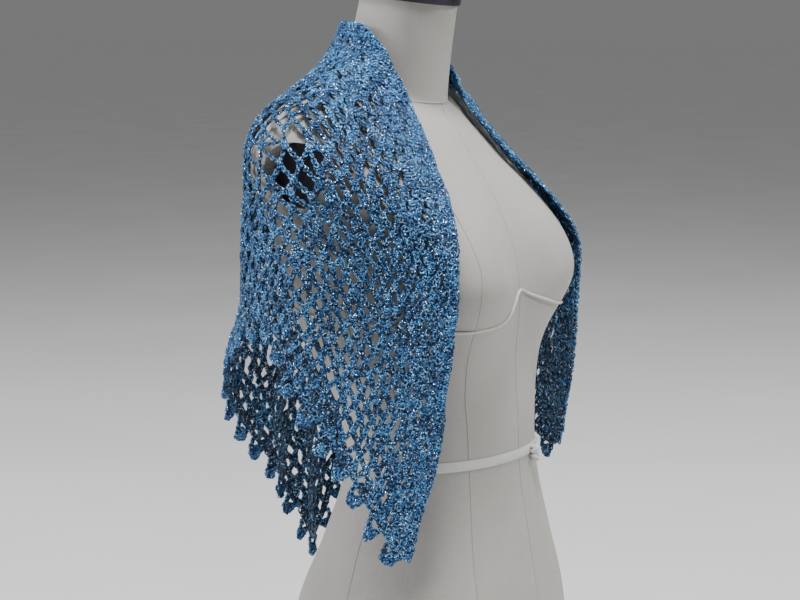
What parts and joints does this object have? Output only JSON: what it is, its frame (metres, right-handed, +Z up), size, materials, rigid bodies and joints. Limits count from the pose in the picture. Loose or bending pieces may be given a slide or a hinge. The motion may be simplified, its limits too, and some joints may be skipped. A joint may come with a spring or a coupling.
{
  "type": "crochet shawl on a limbless dress form",
  "caption": "Triangular openwork crochet shawl with a looped hem, draped over the shoulders of a limbless linen dress form with a dark neck cap.",
  "frame": {"origin": "on the floor, in the middle of the form's flat foot", "axes": "+Z up; the form's front faces -Y and its right side is at -X"},
  "size_m": [0.3881, 0.2968, 0.7674],
  "materials": {
    "linen": "off-white plain linen pulled smooth over the form",
    "dark_metal": "dark grey metal, satin",
    "blue_yarn": "blue yarn with a metallic sparkle, crocheted"
  },
  "bodies": {
    "root": {"torso": "linen", "neck_cap": "dark_metal", "armhole_plate_right": "dark_metal", "armhole_plate_left": "dark_metal", "net_right_front": "blue_yarn", "net_back": "blue_yarn", "net_left_front": "blue_yarn", "edge_band": "blue_yarn", "hem_edging_right": "blue_yarn", "hem_edging_left": "blue_yarn"}
  },
  "joints": []
}
